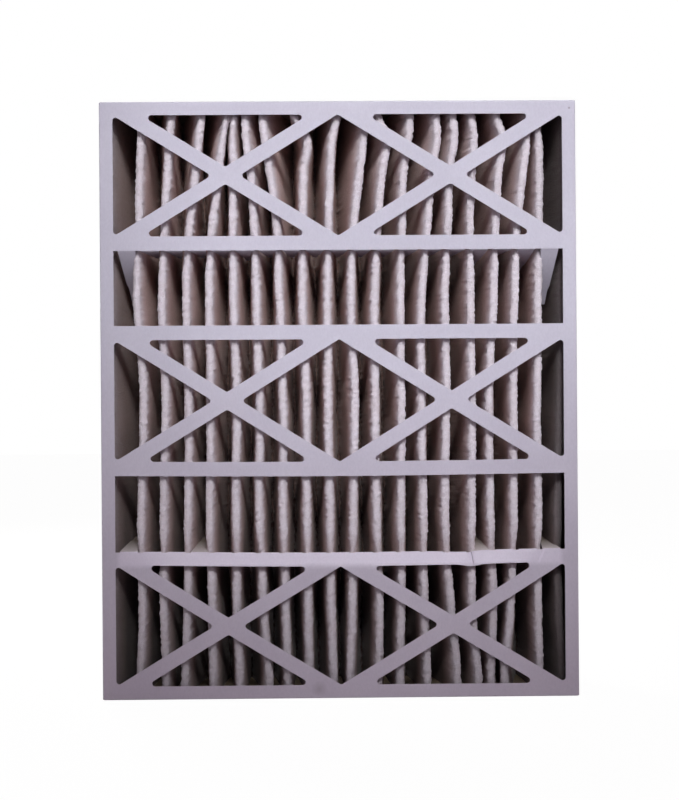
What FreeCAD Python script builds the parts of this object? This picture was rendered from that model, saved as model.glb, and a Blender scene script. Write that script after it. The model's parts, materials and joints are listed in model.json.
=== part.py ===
import FreeCAD, Part
import math
import os

# A pleated panel air filter, standing on its short edge.
# Two trays of coated board are cut and folded, the rear one nested in the front one.
# Each tray's face is a lattice of bars and crossed straps. The tongues cut out of its
# two windows are folded back between the pleats and keep them apart.
# Between the faces stands one pleated sheet of filter media, glued in on all four sides.
# X runs to the right as seen from the front, Y from the front face to the rear one, Z up.
# The origin is at the middle of the bottom. All sizes are in millimetres.

# Overall size of the filter that is sold as 20 x 25 x 5 inches
WIDTH = 501.65
HEIGHT = 628.65
DEPTH = 111.125

# Board of the trays
BOARD = 0.7
FOLD_RADIUS = 0.6
GLUE_LINE = 0.1
CORNER_CUT = 0.4
REAR_WALL_GAP = 0.4

# Glue tabs at the tray's corners
TAB_LENGTH = 38.0
TAB_TAPER = 9.0
TAB_SETBACK = 2.0

# Lattice of each face
SIDE_RIM = 14.2
END_RIM = 14.0
CROSS_BAR = 15.0
STRAP = 15.5
BRACED_ROWS = 3
BRACES_ACROSS = 2
CUT_CORNER = 3.2

# Pleated media
PLEATS = 20
MEDIA = 3.4
MEDIA_FOLD_GAP = 0.2
TIP_SETBACK = 5.0
HEM_LENGTH = 32.0
END_FOLD_SHIFT = 6.0

# Adhesive between the media and the walls
END_SEAL = 2.0
SEAL_OVER_TAB = 0.2

# Tongues that keep the pleats apart
TONGUE_SHORT_OF_TIPS = 30.4
TONGUE_WASTE = 4.0
TONGUE_CLEARANCE = 0.3
BARB_PLACE = 0.66
BARB_STEP = 1.6
BARB_FALL = 5.0
TONGUE_TIP_INSET = 0.4

# Degrees by which a tongue hangs below the level, by its place from the left.
# In the upper window a few sag into view. In the lower one four stand up a little and show,
# and the others sag behind their bar.
UPPER_SAG = {0: 41.0, 5: 2.5, 15: 8.0, 17: 14.0, 18: 48.0}
LOWER_SAG = {0: -6.0, 3: -6.0, 15: -5.0, 18: -3.0}
USUAL_LOWER_SAG = 9.0

# Worked out from the sizes above
FOLD_OUTSIDE = FOLD_RADIUS + BOARD
NESTING = BOARD + GLUE_LINE
FRONT_PLANE = -DEPTH / 2
OPEN_WIDTH = WIDTH - 2 * SIDE_RIM

REAR_WIDTH = WIDTH - 4 * NESTING
REAR_HEIGHT = HEIGHT - 2 * NESTING
INNER_HALF_WIDTH = REAR_WIDTH / 2 - BOARD
INNER_BOTTOM = NESTING + BOARD
INNER_TOP = HEIGHT - INNER_BOTTOM

MEDIA_HALF_WIDTH = INNER_HALF_WIDTH - NESTING - SEAL_OVER_TAB
MEDIA_BOTTOM = INNER_BOTTOM + END_SEAL
MEDIA_TOP = INNER_TOP - END_SEAL
PITCH = 2 * MEDIA_HALF_WIDTH / PLEATS
TIP_INSIDE = MEDIA_FOLD_GAP / 2
TIP_OUTSIDE = TIP_INSIDE + MEDIA
TIP_MIDDLE = TIP_INSIDE + MEDIA / 2
TIP_PLANE = DEPTH / 2 - BOARD - TIP_SETBACK
TIP_CENTRE = TIP_PLANE - TIP_OUTSIDE


def slant(across, along, clearance):
    """Angle from the Y axis of a line that passes a point at a clearance."""
    return math.atan2(across, along) - math.asin(clearance / math.hypot(across, along))


FLANK_ANGLE = slant(PITCH / 2, 2 * TIP_CENTRE, 2 * TIP_MIDDLE)
END_FLANK_ANGLE = slant(PITCH / 2 + END_FOLD_SHIFT, 2 * TIP_CENTRE, 2 * TIP_MIDDLE)
HEM_START = TIP_PLANE - HEM_LENGTH
END_LEG_ANGLE = slant(
    PITCH / 2 - END_FOLD_SHIFT - MEDIA / 2, HEM_START + TIP_CENTRE, TIP_MIDDLE
)

TONGUE_REACH = TIP_PLANE - TONGUE_SHORT_OF_TIPS - FRONT_PLANE
WINDOW = TONGUE_REACH + TONGUE_WASTE
BRACED_ROW = (HEIGHT - 2 * END_RIM - 2 * WINDOW - (BRACED_ROWS + 1) * CROSS_BAR) / BRACED_ROWS
UPPER_WINDOW_TOP = HEIGHT - END_RIM - BRACED_ROW - CROSS_BAR
LOWER_WINDOW_BOTTOM = END_RIM + BRACED_ROW + CROSS_BAR


def vector(x, y, z):
    return FreeCAD.Vector(x, y, z)


def box(x_range, y_range, z_range):
    size = [high - low for low, high in (x_range, y_range, z_range)]
    return Part.makeBox(*size, vector(x_range[0], y_range[0], z_range[0]))


def sharp_outline(points):
    return Part.makePolygon(points + points[:1])


def rounded_outline(points, radius):
    """A closed wire through the points, with each corner rounded to the radius."""
    joints = []
    count = len(points)
    for place in range(count):
        corner = points[place]
        to_last = (points[place - 1] - corner).normalize()
        to_next = (points[(place + 1) % count] - corner).normalize()
        half_angle = to_last.getAngle(to_next) / 2
        run = radius / math.tan(half_angle)
        bisector = (to_last + to_next).normalize()
        middle = corner + bisector * (radius / math.sin(half_angle) - radius)
        joints.append((corner + to_last * run, middle, corner + to_next * run))
    edges = []
    for place in range(count):
        start, middle, end = joints[place]
        edges.append(Part.Arc(start, middle, end).toShape())
        edges.append(Part.LineSegment(end, joints[(place + 1) % count][0]).toShape())
    return Part.Wire(edges)


def round_fold(section_points, axis_point, axis):
    """A scored fold with a soft bend: the cut edge of the sheet, turned through a right angle."""
    return Part.Face(sharp_outline(section_points)).revolve(axis_point, axis, 90)


def sharp_fold(outer_point, crease_point, axis, along, turn):
    """A pressed fold: closed inside at the crease, and pressed flat outside."""
    arm = outer_point - crease_point
    end = crease_point + FreeCAD.Rotation(axis, turn).multVec(arm)
    return Part.Face(sharp_outline([crease_point, outer_point, end])).extrude(along)


def brace_outlines(left, right, bottom, top):
    """The gaps left by the crossed straps of one row.

    The lower edge of each strap starts in the row's corner, so its slope
    follows from the strap's width and the half cell that it has to cross.
    """
    cell = (right - left) / BRACES_ACROSS
    reach = cell / 2
    rise = (top - bottom) / 2
    half_strap = STRAP / 2
    angle = math.atan2(rise, reach) + math.asin(half_strap / math.hypot(reach, rise))
    slope = math.tan(angle)
    half_thick = half_strap / math.cos(angle)
    middle = (bottom + top) / 2
    side_depth = rise / slope
    strap_foot = 2 * half_thick / slope
    outlines = []
    for number in range(BRACES_ACROSS):
        start = left + number * cell
        end = start + cell
        crossing = start + reach
        for edge, outward in ((top, 1), (bottom, -1)):
            outlines.append([
                (start + strap_foot, edge),
                (end - strap_foot, edge),
                (crossing, middle + outward * half_thick),
            ])
        if number == 0:
            outlines.append([(start, top), (start, bottom), (start + side_depth, middle)])
        if number == BRACES_ACROSS - 1:
            outlines.append([(end, top), (end, bottom), (end - side_depth, middle)])
        else:
            outlines.append([
                (end, top),
                (end - side_depth, middle),
                (end, bottom),
                (end + side_depth, middle),
            ])
    return outlines


def lattice_cuts(plane):
    """Solids that cut the windows and the gaps between the straps out of a face."""
    side = OPEN_WIDTH / 2
    through = vector(0, 3 * BOARD, 0)
    step = BRACED_ROW + 2 * CROSS_BAR + WINDOW
    outlines = []
    for number in range(BRACED_ROWS):
        bottom = END_RIM + number * step
        top = bottom + BRACED_ROW
        for outline in brace_outlines(-side, side, bottom, top):
            points = [vector(x, plane - BOARD, z) for x, z in outline]
            outlines.append(rounded_outline(points, CUT_CORNER))
        if number < BRACED_ROWS - 1:
            low = top + CROSS_BAR
            corners = [(-side, low), (side, low), (side, low + WINDOW), (-side, low + WINDOW)]
            outlines.append(sharp_outline([vector(x, plane - BOARD, z) for x, z in corners]))
    return [Part.Face(outline).extrude(through) for outline in outlines]


def side_wall(half_width, bottom, top, plane, far, side):
    """A long wall with the fold that joins it to the face."""
    axis_x = side * (half_width - FOLD_OUTSIDE)
    low = bottom + FOLD_OUTSIDE
    high = top - FOLD_OUTSIDE
    section = [
        vector(axis_x, plane, low),
        vector(axis_x, plane + BOARD, low),
        vector(axis_x, plane + BOARD, high),
        vector(axis_x, plane, high),
    ]
    fold = round_fold(section, vector(axis_x, plane + FOLD_OUTSIDE, 0), vector(0, 0, side))
    across = sorted((side * half_width, side * (half_width - BOARD)))
    wall = box(across, (plane + FOLD_OUTSIDE, far), (bottom + CORNER_CUT, top - CORNER_CUT))
    return [fold, wall]


def end_wall(half_width, edge, inward, plane, far):
    """A top or bottom wall, its fold, and the glue tabs that turn in behind the side walls."""
    axis_z = edge + inward * FOLD_OUTSIDE
    reach = half_width - FOLD_OUTSIDE
    section = [
        vector(-reach, plane, axis_z),
        vector(reach, plane, axis_z),
        vector(reach, plane + BOARD, axis_z),
        vector(-reach, plane + BOARD, axis_z),
    ]
    fold = round_fold(section, vector(0, plane + FOLD_OUTSIDE, axis_z), vector(inward, 0, 0))
    near = plane + FOLD_OUTSIDE
    crease_x = half_width - NESTING - BOARD
    level = sorted((edge, edge + inward * BOARD))
    pieces = [fold, box((-crease_x, crease_x), (near, far), level)]
    start = near + TAB_SETBACK
    end = far - TAB_SETBACK
    crease_z = edge + inward * BOARD
    for side in (-1, 1):
        outer_point = vector(side * crease_x, start, edge)
        crease_point = vector(side * crease_x, start, crease_z)
        axis = vector(0, -side * inward, 0)
        pieces.append(sharp_fold(outer_point, crease_point, axis, vector(0, end - start, 0), 90))
        outside = side * (crease_x + BOARD)
        flap = sharp_outline([
            vector(outside, start, crease_z),
            vector(outside, end, crease_z),
            vector(outside, end - TAB_TAPER, crease_z + inward * TAB_LENGTH),
            vector(outside, start + TAB_TAPER, crease_z + inward * TAB_LENGTH),
        ])
        pieces.append(Part.Face(flap).extrude(vector(-side * BOARD, 0, 0)))
    return pieces


def channel_half_width(reach):
    """Half the free width between two pleats, at a distance behind the outside of the face."""
    past_centre = reach + FRONT_PLANE + TIP_CENTRE
    return PITCH / 2 - TIP_OUTSIDE / math.cos(FLANK_ANGLE) - past_centre * math.tan(FLANK_ANGLE)


def tongue_outline():
    """Half widths of a tongue's blade, with their distances from the fold.

    The blade narrows as the channel between two pleats does, and ends past a pair of barbs.
    """
    def fitted(distance):
        return channel_half_width(distance + BOARD) - TONGUE_CLEARANCE

    length = TONGUE_REACH - BOARD
    barb = BARB_PLACE * length
    return [
        (fitted(0), 0),
        (fitted(barb), barb),
        (fitted(barb) - BARB_STEP, barb + BARB_FALL),
        (fitted(length) - TONGUE_TIP_INSET, length),
    ]


def tongue(place, root, plane, upward, turn):
    """One tongue: its fold and its blade.

    The root is the height of the fold line, upward is 1 where the blade was cut out
    of the window above its bar and -1 below it, and turn is the angle of the fold.
    """
    outline = tongue_outline()
    base_half = outline[0][0]
    axis = vector(-upward, 0, 0)
    outer_point = vector(place - base_half, plane, root)
    crease_point = vector(place - base_half, plane + BOARD, root)
    fold = sharp_fold(outer_point, crease_point, axis, vector(2 * base_half, 0, 0), turn)
    right = [vector(place + half, plane, root + upward * run) for half, run in outline]
    left = [vector(place - half, plane, root + upward * run) for half, run in reversed(outline)]
    blade = Part.Face(sharp_outline(right + left)).extrude(vector(0, BOARD, 0))
    blade.rotate(crease_point, axis, turn)
    return [fold, blade]


def tongue_places(is_front):
    """Middles of the channels that open to one face and lie wholly in its windows."""
    count = PLEATS - 1 if is_front else PLEATS
    base_half = tongue_outline()[0][0]
    places = [(number - (count - 1) / 2) * PITCH for number in range(count)]
    return [place for place in places if abs(place) + base_half < OPEN_WIDTH / 2]


def tongues(plane, is_front):
    """Both rows of tongues of a face. Those of the front face sag as the photograph shows."""
    pieces = []
    for number, place in enumerate(tongue_places(is_front)):
        upper_sag = UPPER_SAG.get(number, 0) if is_front else 0
        lower_sag = LOWER_SAG.get(number, USUAL_LOWER_SAG) if is_front else 0
        pieces += tongue(place, UPPER_WINDOW_TOP, plane, -1, 90 - upper_sag)
        pieces += tongue(place, LOWER_WINDOW_BOTTOM, plane, 1, 90 + lower_sag)
    return pieces


def tray(width, bottom, height, far, is_front):
    """A folded tray with its face to the front and its walls running back to far."""
    plane = FRONT_PLANE
    half_width = width / 2
    top = bottom + height
    across = (-half_width + FOLD_OUTSIDE, half_width - FOLD_OUTSIDE)
    upright = (bottom + FOLD_OUTSIDE, top - FOLD_OUTSIDE)
    face = box(across, (plane, plane + BOARD), upright).cut(lattice_cuts(plane))
    folded = tongues(plane, is_front)
    for side in (-1, 1):
        folded += side_wall(half_width, bottom, top, plane, far, side)
    folded += end_wall(half_width, bottom, 1, plane, far)
    folded += end_wall(half_width, top, -1, plane, far)
    return face.multiFuse(folded).removeSplitter()


def front_frame():
    return tray(WIDTH, 0, HEIGHT, DEPTH / 2, True)


def rear_frame():
    far = DEPTH / 2 - FOLD_OUTSIDE - REAR_WALL_GAP
    facing_front = tray(REAR_WIDTH, NESTING, REAR_HEIGHT, far, False)
    return facing_front.mirror(vector(0, 0, 0), vector(0, 1, 0))


def crossing(point, direction, other_point, other_direction):
    """Where two lines in the XY plane meet."""
    between = other_point - point
    area = direction.x * other_direction.y - direction.y * other_direction.x
    run = (between.x * other_direction.y - between.y * other_direction.x) / area
    return point + direction * run


def media_surface(is_front):
    """Corners and arcs of one side of the pleated sheet, from the left hem to the right one.

    A fold is round on its outside, with the three points of an arc, and closed on its
    inside, with one point. The outermost legs lean on the side walls and end in hems.
    The two folds beside them stand nearer to the walls than the even pitch would have it.
    """
    last = 2 * PLEATS - 1
    legs = []
    for number in range(last + 1):
        from_end = min(number, last - number)
        angle = (END_LEG_ANGLE, END_FLANK_ANGLE, FLANK_ANGLE)[min(from_end, 2)]
        toward = 1 if number % 2 else -1
        legs.append(vector(math.sin(angle), toward * math.cos(angle), 0))
    stops = []
    touches = []
    for number in range(1, last + 1):
        facing = -1 if number % 2 else 1
        shift = {1: -END_FOLD_SHIFT, last: END_FOLD_SHIFT}.get(number, 0)
        centre = vector((number - PLEATS) * PITCH / 2 + shift, facing * TIP_CENTRE, 0)
        is_outside = is_front == (facing < 0)
        distance = TIP_OUTSIDE if is_outside else TIP_INSIDE
        before, after = [
            centre + vector(-leg.y, leg.x, 0) * (facing * distance)
            for leg in (legs[number - 1], legs[number])
        ]
        touches += [before, after]
        if is_outside:
            stops.append([before, centre + vector(0, facing * TIP_OUTSIDE, 0), after])
        else:
            stops.append([crossing(before, legs[number - 1], after, legs[number])])

    hem_x = MEDIA_HALF_WIDTH if is_front else MEDIA_HALF_WIDTH - MEDIA
    upright = vector(0, 1, 0)
    left_kink = crossing(touches[0], legs[0], vector(-hem_x, 0, 0), upright)
    right_kink = crossing(touches[-1], legs[last], vector(hem_x, 0, 0), upright)
    left_end = vector(-hem_x, TIP_PLANE, 0)
    right_end = vector(hem_x, TIP_PLANE, 0)
    return [[left_end], [left_kink]] + stops + [[right_kink], [right_end]]


def media_pack():
    """The pleated sheet, as the area between its two surfaces, drawn upward."""
    back = [stop[::-1] for stop in reversed(media_surface(False))]
    stops = media_surface(True) + back
    edges = []
    for number, stop in enumerate(stops):
        following = stops[(number + 1) % len(stops)]
        if len(stop) == 3:
            edges.append(Part.Arc(*stop).toShape())
        edges.append(Part.LineSegment(stop[-1], following[0]).toShape())
    section = Part.Face(Part.Wire(edges))
    section.translate(vector(0, 0, MEDIA_BOTTOM))
    return section.extrude(vector(0, 0, MEDIA_TOP - MEDIA_BOTTOM))


def end_seal(bottom):
    """The bed of adhesive between the cut ends of the pleats and a tray wall."""
    across = (-MEDIA_HALF_WIDTH, MEDIA_HALF_WIDTH)
    return box(across, (-TIP_PLANE, TIP_PLANE), (bottom, bottom + END_SEAL))


def side_seal(side):
    """The strip of adhesive between a hem of the media and a side wall, between the glue tabs."""
    across = sorted((side * MEDIA_HALF_WIDTH, side * INNER_HALF_WIDTH))
    start = INNER_BOTTOM + TAB_LENGTH + SEAL_OVER_TAB
    return box(across, (HEM_START, TIP_PLANE), (start, HEIGHT - start))


PARTS = {
    "front_frame": front_frame,
    "rear_frame": rear_frame,
    "media_pack": media_pack,
    "end_seal_top": lambda: end_seal(MEDIA_TOP),
    "end_seal_bottom": lambda: end_seal(INNER_BOTTOM),
    "side_seal_left": lambda: side_seal(-1),
    "side_seal_right": lambda: side_seal(1),
}

os.makedirs("parts", exist_ok=True)
for name, make in PARTS.items():
    shape = make()
    shape.exportStep(f"parts/{name}.step")
    solids = len(shape.Solids)
    print(f"{name}: {solids} solid(s), valid {shape.isValid()}, {shape.Volume:.0f} mm3")
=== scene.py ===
# %% [markdown]
# A pleated panel air filter, 20 x 25 x 5 inches, standing on its short edge.
#
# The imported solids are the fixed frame. They already have the true sizes, so this file
# gives them their looks: a board tray that was bumped in use, a soft pleated sheet whose
# folds lean and bunch, and finishes for board, felt and adhesive.

# %% Load the frame
import json
import math

import bpy
import numpy as np
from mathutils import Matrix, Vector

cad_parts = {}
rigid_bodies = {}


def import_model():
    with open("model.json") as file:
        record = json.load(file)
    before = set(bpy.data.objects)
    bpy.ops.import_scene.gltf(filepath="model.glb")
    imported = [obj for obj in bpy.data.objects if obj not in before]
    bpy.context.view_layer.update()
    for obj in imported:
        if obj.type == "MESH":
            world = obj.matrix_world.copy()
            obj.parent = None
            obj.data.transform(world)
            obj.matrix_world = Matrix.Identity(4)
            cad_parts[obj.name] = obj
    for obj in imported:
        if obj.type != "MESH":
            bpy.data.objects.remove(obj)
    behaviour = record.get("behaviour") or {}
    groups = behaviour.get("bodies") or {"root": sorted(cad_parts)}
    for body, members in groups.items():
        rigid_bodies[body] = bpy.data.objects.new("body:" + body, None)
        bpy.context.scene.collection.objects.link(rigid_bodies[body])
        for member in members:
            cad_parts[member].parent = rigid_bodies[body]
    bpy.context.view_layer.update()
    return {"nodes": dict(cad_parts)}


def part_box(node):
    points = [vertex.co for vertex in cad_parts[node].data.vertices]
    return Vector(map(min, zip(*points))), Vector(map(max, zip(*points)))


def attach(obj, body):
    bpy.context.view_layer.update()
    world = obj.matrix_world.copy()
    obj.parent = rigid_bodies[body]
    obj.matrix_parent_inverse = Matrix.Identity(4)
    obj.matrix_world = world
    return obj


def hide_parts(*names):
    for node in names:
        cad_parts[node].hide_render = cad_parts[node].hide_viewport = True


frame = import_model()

MM = 0.001
front_low, front_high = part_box("front_frame")
media_low, media_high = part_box("media_pack")
print("tray", front_low, front_high)
print("media", media_low, media_high)

# %% [markdown]
# Every operator works on what is selected, and the loaded solids come in selected.
# So the first helper clears the selection and makes one object the active one.

# %% Selection and modifiers
def pick(piece):
    """Makes one object the only selected and active one."""
    for other in bpy.context.view_layer.objects:
        other.select_set(False)
    piece.select_set(True)
    bpy.context.view_layer.objects.active = piece


def apply_modifiers(piece):
    """Turns every modifier of the piece into mesh, in order."""
    pick(piece)
    for modifier in list(piece.modifiers):
        bpy.ops.object.modifier_apply(modifier=modifier.name)


def read_points(piece):
    """The piece's vertices as an array with one row for each."""
    points = np.empty(len(piece.data.vertices) * 3)
    piece.data.vertices.foreach_get("co", points)
    return points.reshape(-1, 3)


def write_points(piece, points):
    """Puts the rows of an array back into the piece's vertices."""
    piece.data.vertices.foreach_set("co", points.ravel())
    piece.data.update()


def hill(distance, reach):
    """A smooth hill of height 1 around distance 0."""
    return np.exp(-((distance / reach) ** 2))


pick(frame["nodes"]["front_frame"])

# %% [markdown]
# The photograph was taken almost square on, from about a metre and a half. The picture is
# turned by less than half a degree, and its left side is a little nearer. A long lens from
# there keeps the outline nearly square, and still shows the flanks of the pleats.

# %% Camera
IMAGE_HEIGHT = 800
PIXELS_PER_METRE = 950.0
CAMERA_DISTANCE = 1.5
CAMERA_ROLL = math.radians(0.41)
CAMERA_YAW = math.radians(0.7)
CENTRE_OFFSET = (0.0, -0.0005)
SENSOR = 36.0

camera_data = bpy.data.cameras.new("camera")
camera = bpy.data.objects.new("camera", camera_data)
bpy.context.scene.collection.objects.link(camera)
camera_data.sensor_width = SENSOR
camera_data.lens = SENSOR * CAMERA_DISTANCE * PIXELS_PER_METRE / IMAGE_HEIGHT
middle_height = (front_low.z + front_high.z) / 2
camera.location = (
    CENTRE_OFFSET[0] - CAMERA_DISTANCE * math.sin(CAMERA_YAW),
    front_low.y - CAMERA_DISTANCE * math.cos(CAMERA_YAW),
    middle_height + CENTRE_OFFSET[1],
)
camera.rotation_euler = (math.pi / 2, CAMERA_ROLL, -CAMERA_YAW)
bpy.context.scene.camera = camera
print("lens", round(camera_data.lens, 1), "mm")

# %% [markdown]
# The key lamp is a broad soft box above the camera and a little to its right. A soft spot
# from the same side is aimed at the upper half, so the light falls away towards the
# bottom edge, as it does in the photograph. Both are a little cool. A broad lamp behind
# gives the rear face its light.

# %% Lamps
KEY_PLACE = (0.18, -1.1, 1.2)
KEY_AIM = (0.05, -0.05, 0.50)
KEY_POWER = 3.0
KEY_SIZE = 0.9
TOP_PLACE = (0.18, -1.25, 1.4)
TOP_AIM = (0.08, -0.05, 0.612)
TOP_POWER = 353.0
TOP_RADIUS = 0.45
TOP_ANGLE = 16.8
TOP_BLEND = 0.24
COOL = (0.95, 0.985, 1.0)
BACK_PLACE = (-0.95, 1.5, 1.2)
BACK_AIM = (0.0, 0.05, 0.3)
BACK_POWER = 17.0
BACK_SIZE = 0.9
WARM = (1.0, 0.99, 0.97)


def aim(thing, target):
    """Turns a lamp so that it points at a place."""
    offset = [t - p for t, p in zip(target, thing.location)]
    flat = math.hypot(offset[0], offset[1])
    thing.rotation_euler = (
        math.atan2(flat, -offset[2]),
        0,
        math.atan2(-offset[0], offset[1]),
    )


def add_lamp(name, kind, place, target, power, colour):
    """Puts an aimed lamp in the scene and returns its settings."""
    data = bpy.data.lights.new(name, kind)
    data.energy = power
    data.color = colour
    lamp = bpy.data.objects.new(name, data)
    bpy.context.scene.collection.objects.link(lamp)
    lamp.location = place
    aim(lamp, target)
    return data


key = add_lamp("key", "AREA", KEY_PLACE, KEY_AIM, KEY_POWER, COOL)
key.size = KEY_SIZE
top = add_lamp("top", "SPOT", TOP_PLACE, TOP_AIM, TOP_POWER, COOL)
top.spot_size = math.radians(TOP_ANGLE)
top.spot_blend = TOP_BLEND
top.shadow_soft_size = TOP_RADIUS
back = add_lamp("back", "AREA", BACK_PLACE, BACK_AIM, BACK_POWER, WARM)
back.shape = "DISK"
back.size = BACK_SIZE

# %% [markdown]
# A pale world fills the shadows. Its light is a little pink, as the photograph's shadows
# are. It is white only where the camera looks straight at it.

# %% World
FILL_LEVEL = 0.24
FILL_COLOUR = (1.0, 0.84, 0.90, 1)

world = bpy.data.worlds.new("studio")
bpy.context.scene.world = world
world.use_nodes = True
nodes = world.node_tree.nodes
links = world.node_tree.links
nodes.clear()
seen = nodes.new("ShaderNodeBackground")
seen.inputs["Color"].default_value = (1, 1, 1, 1)
fill = nodes.new("ShaderNodeBackground")
fill.inputs["Color"].default_value = FILL_COLOUR
fill.inputs["Strength"].default_value = FILL_LEVEL
light_path = nodes.new("ShaderNodeLightPath")
choose = nodes.new("ShaderNodeMixShader")
output = nodes.new("ShaderNodeOutputWorld")
links.new(light_path.outputs["Is Camera Ray"], choose.inputs["Fac"])
links.new(fill.outputs["Background"], choose.inputs[1])
links.new(seen.outputs["Background"], choose.inputs[2])
links.new(choose.outputs["Shader"], output.inputs["Surface"])
bpy.context.scene.view_settings.view_transform = "Standard"
print("world fill", FILL_LEVEL)

# %% [markdown]
# The floor is plain. To the light it is a pale grey board. The camera sees it as nearly
# white, with just enough of its shading left to show the filter's soft shadow.

# %% Floor
FLOOR_SIZE = 14.0
FLOOR_GREY = 0.62
FLOOR_WHITE = 0.972
FLOOR_SHADED = 0.05

pick(frame["nodes"]["front_frame"])
bpy.ops.mesh.primitive_plane_add(size=FLOOR_SIZE, location=(0, 0, front_low.z))
floor = bpy.context.active_object
floor.name = "floor"
floor_material = bpy.data.materials.new("floor")
floor_material.use_nodes = True
nodes = floor_material.node_tree.nodes
links = floor_material.node_tree.links
floor_shader = nodes["Principled BSDF"]
floor_shader.inputs["Roughness"].default_value = 0.9
floor_shader.inputs["Specular IOR Level"].default_value = 0.0
floor_shader.inputs["Emission Color"].default_value = (1, 1, 1, 1)
floor_light_path = nodes.new("ShaderNodeLightPath")
floor_glow = nodes.new("ShaderNodeMath")
floor_glow.operation = "MULTIPLY"
floor_glow.inputs[1].default_value = FLOOR_WHITE
floor_tone = nodes.new("ShaderNodeMix")
floor_tone.data_type = "RGBA"
floor_tone.inputs["A"].default_value = (FLOOR_GREY, FLOOR_GREY, FLOOR_GREY, 1)
floor_tone.inputs["B"].default_value = (FLOOR_SHADED, FLOOR_SHADED, FLOOR_SHADED, 1)
links.new(floor_light_path.outputs["Is Camera Ray"], floor_glow.inputs[0])
links.new(floor_light_path.outputs["Is Camera Ray"], floor_tone.inputs["Factor"])
links.new(floor_glow.outputs["Value"], floor_shader.inputs["Emission Strength"])
links.new(floor_tone.outputs["Result"], floor_shader.inputs["Base Color"])
floor.data.materials.append(floor_material)
print("floor at", round(front_low.z, 4))

# %% [markdown]
# Board and felt share one effect: tones that wander over the surface. It is a node group,
# built once, that mixes two colours by noise of a chosen size and also gives a height for
# the bump. A second small group gives a soft round mask, for the marks on the board.

# %% Node groups
def group_socket(group, name, kind, value=None, is_input=True):
    """Adds a named socket to a node group."""
    direction = "INPUT" if is_input else "OUTPUT"
    socket = group.interface.new_socket(name, in_out=direction, socket_type=kind)
    if value is not None:
        socket.default_value = value
    return socket


def add_math(nodes, links, operation, *operands, clamp=False):
    """A math node. Each operand is a number or another node's output."""
    node = nodes.new("ShaderNodeMath")
    node.operation = operation
    node.use_clamp = clamp
    for socket, operand in zip(node.inputs, operands):
        if isinstance(operand, (int, float)):
            socket.default_value = operand
        else:
            links.new(operand, socket)
    return node.outputs["Value"]


def mix_colours(nodes, links, factor, first, second):
    """Blends two colours. Each is a plain colour or another node's output."""
    mixed = nodes.new("ShaderNodeMix")
    mixed.data_type = "RGBA"
    links.new(factor, mixed.inputs["Factor"])
    for socket, colour in ((mixed.inputs["A"], first), (mixed.inputs["B"], second)):
        if isinstance(colour, tuple):
            socket.default_value = (*colour, 1)
        else:
            links.new(colour, socket)
    return mixed.outputs["Result"]


def build_mottle():
    """Two sizes of noise that blend a dark and a light colour, and give a height."""
    group = bpy.data.node_groups.new("mottle", "ShaderNodeTree")
    group_socket(group, "Vector", "NodeSocketVector")
    group_socket(group, "Scale", "NodeSocketFloat", 100.0)
    group_socket(group, "Fine Scale", "NodeSocketFloat", 900.0)
    group_socket(group, "Amount", "NodeSocketFloat", 0.5)
    group_socket(group, "Dark", "NodeSocketColor", (0.4, 0.4, 0.4, 1))
    group_socket(group, "Light", "NodeSocketColor", (0.6, 0.6, 0.6, 1))
    group_socket(group, "Color", "NodeSocketColor", is_input=False)
    group_socket(group, "Height", "NodeSocketFloat", is_input=False)
    nodes = group.nodes
    links = group.links
    given = nodes.new("NodeGroupInput")
    result = nodes.new("NodeGroupOutput")
    waves = []
    for size, detail in (("Scale", 3.0), ("Fine Scale", 4.0)):
        noise = nodes.new("ShaderNodeTexNoise")
        noise.inputs["Detail"].default_value = detail
        links.new(given.outputs["Vector"], noise.inputs["Vector"])
        links.new(given.outputs[size], noise.inputs["Scale"])
        waves.append(noise.outputs["Fac"])
    both = add_math(nodes, links, "ADD", waves[0], waves[1])
    centred = add_math(nodes, links, "MULTIPLY_ADD", both, 0.5, -0.5)
    scaled = add_math(nodes, links, "MULTIPLY", centred, given.outputs["Amount"])
    lifted = add_math(nodes, links, "ADD", scaled, 0.5, clamp=True)
    tint = mix_colours(nodes, links, lifted, given.outputs["Dark"], given.outputs["Light"])
    links.new(tint, result.inputs["Color"])
    links.new(waves[1], result.inputs["Height"])
    return group


def build_round_mask():
    """A mask that is 1 at its centre and falls to 0 at its radius."""
    group = bpy.data.node_groups.new("round_mask", "ShaderNodeTree")
    group_socket(group, "Vector", "NodeSocketVector")
    group_socket(group, "Centre", "NodeSocketVector")
    group_socket(group, "Radius", "NodeSocketFloat", 0.005)
    group_socket(group, "Mask", "NodeSocketFloat", is_input=False)
    nodes = group.nodes
    links = group.links
    given = nodes.new("NodeGroupInput")
    result = nodes.new("NodeGroupOutput")
    away = nodes.new("ShaderNodeVectorMath")
    away.operation = "DISTANCE"
    links.new(given.outputs["Vector"], away.inputs[0])
    links.new(given.outputs["Centre"], away.inputs[1])
    share = add_math(nodes, links, "DIVIDE", away.outputs["Value"], given.outputs["Radius"])
    inside = add_math(nodes, links, "SUBTRACT", 1.0, share, clamp=True)
    links.new(inside, result.inputs["Mask"])
    return group


mottle = build_mottle()
round_mask = build_round_mask()
print("node groups", mottle.name, round_mask.name)

# %% [markdown]
# Each finish is one Principled shader with a few nodes before it: the object's own
# coordinates, which keep a pattern still on its piece, the mottle, and tints that are
# multiplied over the colour one after another. Some tints are real marks, others are
# painted shade or painted light. The helpers place those nodes, so each finish further
# down reads as a list of its tints.

# %% Helpers for materials
def new_material(name, roughness, specular):
    """A material with its nodes, links and shader."""
    material = bpy.data.materials.new(name)
    material.use_nodes = True
    shader = material.node_tree.nodes["Principled BSDF"]
    shader.inputs["Roughness"].default_value = roughness
    shader.inputs["Specular IOR Level"].default_value = specular
    return material, material.node_tree.nodes, material.node_tree.links, shader


def object_place(nodes):
    """The object's own coordinates."""
    return nodes.new("ShaderNodeTexCoord").outputs["Object"]


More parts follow.
